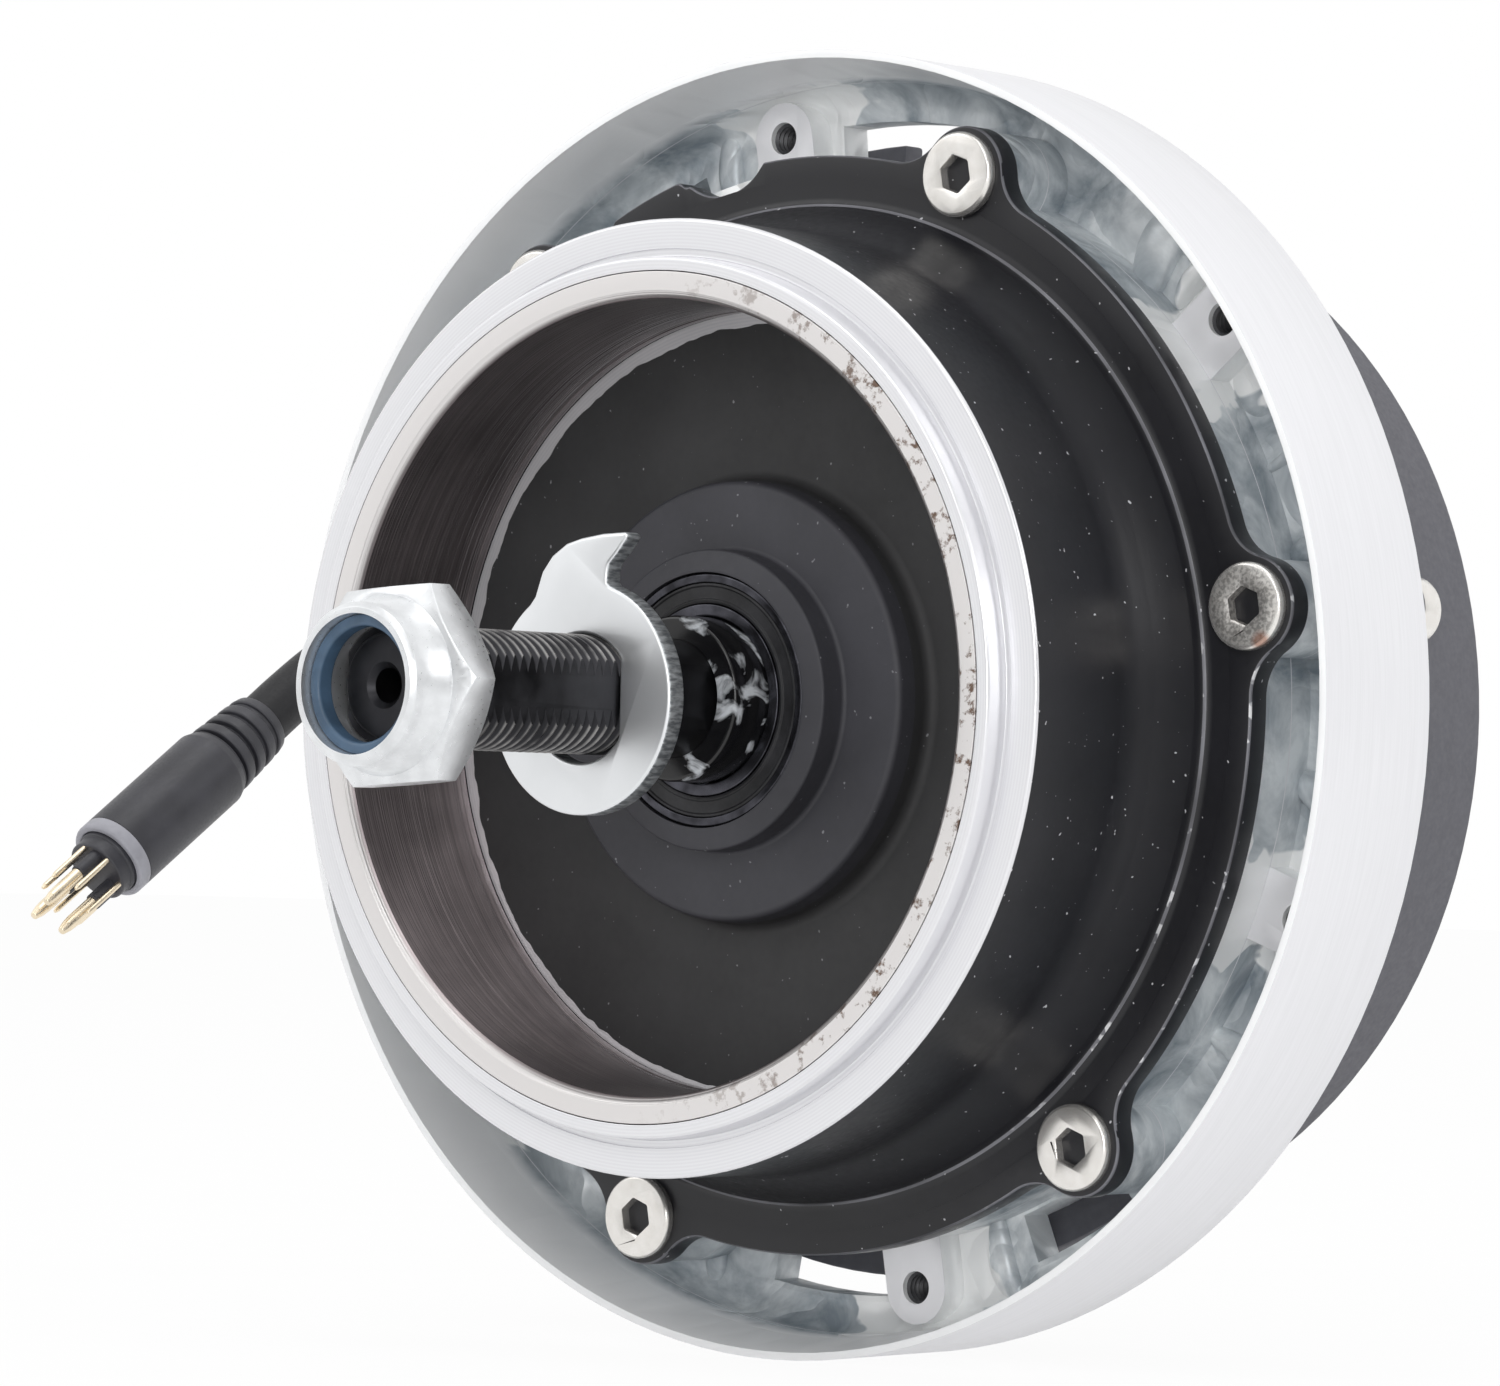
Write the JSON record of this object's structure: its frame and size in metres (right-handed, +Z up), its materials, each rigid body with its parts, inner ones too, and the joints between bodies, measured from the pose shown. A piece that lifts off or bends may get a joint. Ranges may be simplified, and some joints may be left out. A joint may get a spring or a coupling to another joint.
{
  "type": "geared hub motor",
  "caption": "Geared bicycle hub motor with a drum brake side, a flange of threaded wheel bosses, a flatted axle and a short motor cable.",
  "frame": {"origin": "on the axle, halfway across the bright outer band", "axes": "+Y along the axle from the brake side to the cable side, +Z up, +X to the right seen from the brake side"},
  "size_m": [0.2013, 0.2201, 0.1354],
  "materials": {
    "black_steel": "black oxide, oiled",
    "zinc_steel": "zinc plated",
    "blue_nylon": "satin nylon",
    "bearing_steel": "ground and polished",
    "spring_steel": "dark spring steel",
    "stator_steel": "laminated sheet",
    "cast_aluminium": "as cast",
    "shell_aluminium": "cast, machined bright on the band",
    "copper": "enamelled wire",
    "board_green": "solder mask",
    "cable_black": "matt jacket",
    "black_rubber": "moulded",
    "connector_black": "moulded",
    "connector_grey": "moulded",
    "contact_gold": "gold plated",
    "cover_black": "satin black coat",
    "liner_iron": "machined, worn bright",
    "nickel_steel": "nickel plated",
    "casing_grey": "matt grey coat",
    "gear_steel": "hardened",
    "planet_nylon": "moulded nylon",
    "bronze": "sintered",
    "rotor_steel": "turned",
    "magnet": "nickel-coated magnet"
  },
  "bodies": {
    "axle": {"axle": "black_steel", "axle_collar": "black_steel", "tab_washer": "zinc_steel", "lock_nut": "zinc_steel", "lock_nut_nylon_ring": "blue_nylon", "front_bearing_inner_ring": "bearing_steel", "stator_core": "stator_steel", "stator_hub": "cast_aluminium", "stator_coils": "copper", "hall_board": "board_green", "inner_leads": "cable_black", "planet_carrier": "gear_steel", "planet_pins": "bearing_steel", "planet_clips": "spring_steel", "clutch_race": "gear_steel", "clutch_rollers": "bearing_steel", "clutch_key": "zinc_steel", "axle_circlip": "spring_steel", "rotor_bearing_inner_ring": "bearing_steel", "bearing_spacer": "zinc_steel", "rear_bearing_inner_ring": "bearing_steel", "rear_washer": "zinc_steel", "rear_lock_nut": "zinc_steel", "rear_nut_nylon_ring": "blue_nylon", "cable_boot": "black_rubber", "motor_cable": "cable_black", "connector_body": "connector_black", "connector_collar": "connector_grey", "connector_insert": "connector_black", "connector_pins": "contact_gold"},
    "wheel": {"drum_cover": "cover_black", "brake_liner": "liner_iron", "cover_screws": "nickel_steel", "hub_shell": "shell_aluminium", "rear_casing": "casing_grey", "rear_casing_screws": "nickel_steel", "ring_gear": "gear_steel", "front_bearing_outer_ring": "bearing_steel", "front_bearing_seal": "black_rubber", "rear_bearing_outer_ring": "bearing_steel", "rear_seal": "black_rubber"},
    "rotor": {"rotor_can": "rotor_steel", "rotor_magnets": "magnet", "sun_gear": "gear_steel", "rotor_bearing_outer_ring": "bearing_steel"},
    "planet_1": {"planet_gear_1": "planet_nylon", "planet_bush_1": "bronze"},
    "planet_2": {"planet_gear_2": "planet_nylon", "planet_bush_2": "bronze"},
    "planet_3": {"planet_gear_3": "planet_nylon", "planet_bush_3": "bronze"},
    "front_balls": {"front_bearing_balls": "bearing_steel"},
    "rear_balls": {"rear_bearing_balls": "bearing_steel"},
    "rotor_balls": {"rotor_bearing_balls": "bearing_steel"}
  },
  "joints": [
    {"name": "wheel_spin", "type": "hinge", "parent": "axle", "child": "wheel", "pos_m": [0, 0, 0], "axis": [0, 1, 0], "continuous": true},
    {"name": "rotor_spin", "type": "hinge", "parent": "axle", "child": "rotor", "pos_m": [0, 0, 0], "axis": [0, 1, 0], "continuous": true},
    {"name": "planet_1_spin", "type": "hinge", "parent": "axle", "child": "planet_1", "pos_m": [0.0255, 0.0037, 0], "axis": [0, 1, 0], "continuous": true},
    {"name": "planet_2_spin", "type": "hinge", "parent": "axle", "child": "planet_2", "pos_m": [-0.01275, 0.0037, 0.02208], "axis": [0, 1, 0], "continuous": true},
    {"name": "planet_3_spin", "type": "hinge", "parent": "axle", "child": "planet_3", "pos_m": [-0.01275, 0.0037, -0.02208], "axis": [0, 1, 0], "continuous": true},
    {"name": "front_balls_roll", "type": "hinge", "parent": "axle", "child": "front_balls", "pos_m": [0, 0, 0], "axis": [0, 1, 0], "continuous": true},
    {"name": "rear_balls_roll", "type": "hinge", "parent": "axle", "child": "rear_balls", "pos_m": [0, 0, 0], "axis": [0, 1, 0], "continuous": true},
    {"name": "rotor_balls_roll", "type": "hinge", "parent": "axle", "child": "rotor_balls", "pos_m": [0, 0, 0], "axis": [0, 1, 0], "continuous": true}
  ],
  "couplings": [
    {"joint": "rotor_spin", "follows": "wheel_spin", "ratio": -4.6667},
    {"joint": "planet_1_spin", "follows": "wheel_spin", "ratio": 2.5455},
    {"joint": "planet_2_spin", "follows": "wheel_spin", "ratio": 2.5455},
    {"joint": "planet_3_spin", "follows": "wheel_spin", "ratio": 2.5455},
    {"joint": "front_balls_roll", "follows": "wheel_spin", "ratio": 0.5642},
    {"joint": "rear_balls_roll", "follows": "wheel_spin", "ratio": 0.5743},
    {"joint": "rotor_balls_roll", "follows": "wheel_spin", "ratio": -2.5872}
  ]
}
